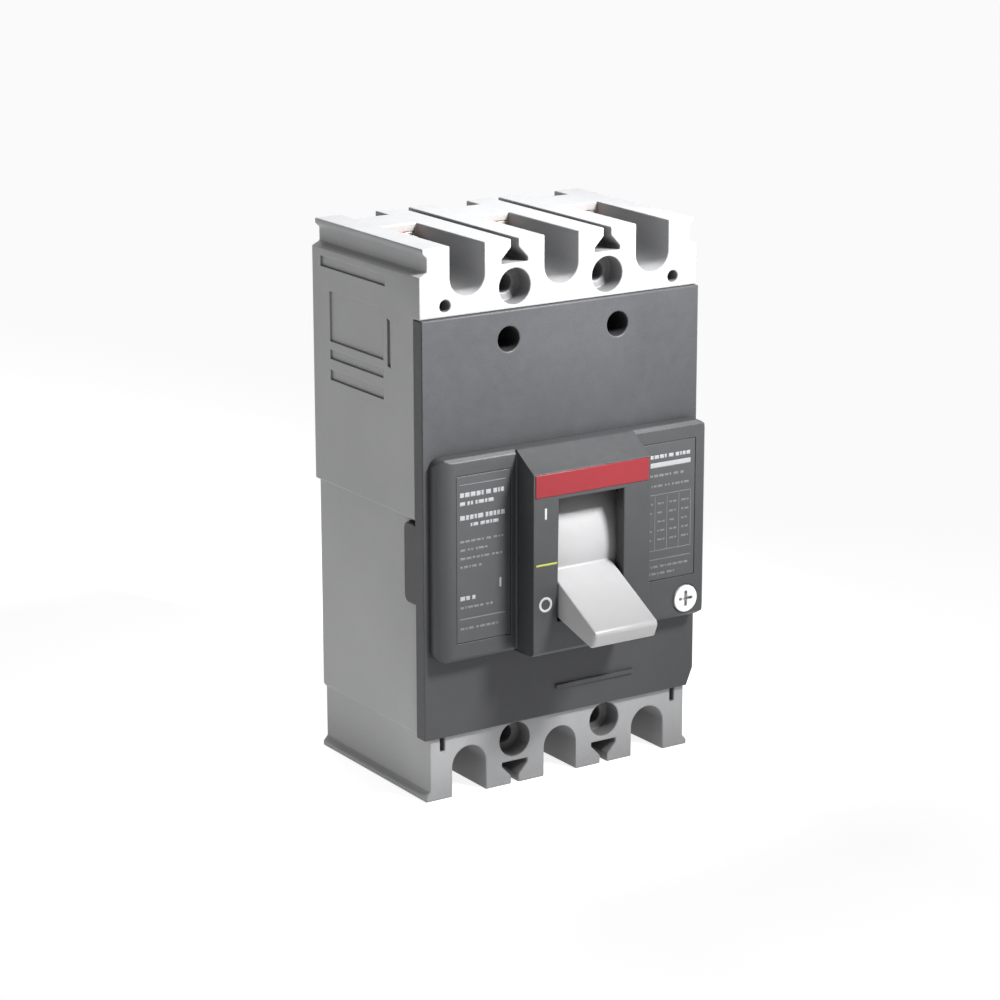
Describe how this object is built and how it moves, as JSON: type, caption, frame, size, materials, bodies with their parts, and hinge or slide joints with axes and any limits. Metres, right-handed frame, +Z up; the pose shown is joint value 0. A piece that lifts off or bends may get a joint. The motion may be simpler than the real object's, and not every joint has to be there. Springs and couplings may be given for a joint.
{
  "type": "molded case circuit breaker",
  "caption": "Molded case circuit breaker with a toggle handle, dark cover and grey base, built as working pieces inside and out.",
  "frame": {"origin": "centre of the mounting hole pattern on the flat back face", "axes": "+X to the right seen from the front, -Y out of the front, +Z up towards the line terminals"},
  "size_m": [0.0762, 0.0748, 0.13],
  "materials": {
    "case_grey": "fine moulded grain",
    "cover_dark": "fine moulded grain",
    "escutcheon_dark": "satin moulded",
    "strip_red": "satin",
    "label_film": "printed film",
    "handle_white": "satin moulded",
    "button_grey": "satin moulded",
    "zinc_steel": "zinc plated",
    "bright_steel": "ground",
    "spring_steel": "drawn wire",
    "black_steel": "blackened",
    "moulded_rotor": "thermoset",
    "trip_bar_plastic": "glass filled",
    "copper": "rolled copper",
    "copper_braid": "braided copper",
    "silver_contact": "silver alloy",
    "arc_steel": "nickel plated sheet",
    "fibre_board": "vulcanised fibre",
    "bimetal": "rolled",
    "brass_screw": "turned"
  },
  "bodies": {
    "housing": {"base": "case_grey", "front_cover": "cover_dark", "escutcheon": "escutcheon_dark", "colour_strip": "strip_red", "left_label": "label_film", "right_label": "label_film", "handle_pivot_pins": "bright_steel", "mechanism_frame": "zinc_steel", "mechanism_spacers": "bright_steel", "frame_screws": "zinc_steel", "cradle": "zinc_steel", "cradle_pin": "bright_steel", "link_pin": "bright_steel", "line_conductors": "copper", "fixed_contact_tips": "silver_contact", "arc_plates": "arc_steel", "arc_side_boards": "fibre_board", "flexible_braids": "copper_braid", "load_conductors": "copper", "bimetal_strips": "bimetal", "calibration_screws": "brass_screw", "magnet_yokes": "arc_steel", "armature_pins": "bright_steel", "test_button_spring": "spring_steel", "terminal_screws": "zinc_steel", "terminal_nuts": "zinc_steel", "cover_screws": "black_steel"},
    "toggle_handle": {"handle": "handle_white", "handle_yoke": "zinc_steel", "main_springs": "spring_steel"},
    "contact_crossbar": {"crossbar": "moulded_rotor", "contact_arms": "copper", "contact_arm_pins": "bright_steel", "moving_contact_tips": "silver_contact", "contact_springs": "spring_steel", "lever_pin": "bright_steel"},
    "upper_link": {"upper_links": "zinc_steel", "knee_pin": "bright_steel"},
    "lower_link": {"lower_links": "zinc_steel"},
    "trip_shaft": {"trip_bar": "trip_bar_plastic"},
    "button": {"test_button": "button_grey"},
    "armature_l": {"armature_left": "arc_steel"},
    "armature_c": {"armature_centre": "arc_steel"},
    "armature_r": {"armature_right": "arc_steel"}
  },
  "joints": [
    {"name": "handle_swing", "type": "hinge", "parent": "housing", "child": "toggle_handle", "pos_m": [0, -0.035, -0.008], "axis": [-1, 0, 0], "range_deg": [0, 44], "deforming": ["main_springs"]},
    {"name": "crossbar_turn", "type": "hinge", "parent": "housing", "child": "contact_crossbar", "pos_m": [0, -0.017, -0.01], "axis": [-1, 0, 0], "range_deg": [0, 38], "deforming": ["flexible_braids"]},
    {"name": "upper_link_pivot", "type": "hinge", "parent": "housing", "child": "upper_link", "pos_m": [0, -0.04, -0.006], "axis": [1, 0, 0], "range_deg": [0, 36.78]},
    {"name": "lower_link_pivot", "type": "hinge", "parent": "contact_crossbar", "child": "lower_link", "pos_m": [0, -0.02232, -0.004], "axis": [1, 0, 0], "range_deg": [0, 12.23]},
    {"name": "trip_bar_turn", "type": "hinge", "parent": "housing", "child": "trip_shaft", "pos_m": [0, -0.03, -0.033], "axis": [-1, 0, 0], "range_deg": [0, 16.4]},
    {"name": "test_button_push", "type": "slide", "parent": "housing", "child": "button", "axis": [0, 1, 0], "range_m": [0, 0.002], "stiffness_N_per_m": 1200, "springref_m": -0.002, "deforming": ["test_button_spring"]},
    {"name": "armature_l_tilt", "type": "hinge", "parent": "housing", "child": "armature_l", "pos_m": [-0.0254, -0.012, -0.0313], "axis": [1, 0, 0], "range_deg": [0, 7], "stiffness_Nm_per_rad": 0.02, "springref_deg": -5.73},
    {"name": "armature_c_tilt", "type": "hinge", "parent": "housing", "child": "armature_c", "pos_m": [0, -0.012, -0.0313], "axis": [1, 0, 0], "range_deg": [0, 7], "stiffness_Nm_per_rad": 0.02, "springref_deg": -5.73},
    {"name": "armature_r_tilt", "type": "hinge", "parent": "housing", "child": "armature_r", "pos_m": [0.0254, -0.012, -0.0313], "axis": [1, 0, 0], "range_deg": [0, 7], "stiffness_Nm_per_rad": 0.02, "springref_deg": -5.73}
  ],
  "couplings": [
    {"joint": "crossbar_turn", "follows": "handle_swing", "ratio": 0.8636},
    {"joint": "upper_link_pivot", "follows": "handle_swing", "ratio": 0.8358},
    {"joint": "lower_link_pivot", "follows": "handle_swing", "ratio": 0.27775},
    {"joint": "trip_bar_turn", "follows": "test_button_push", "rad_per_m": 143.1}
  ]
}
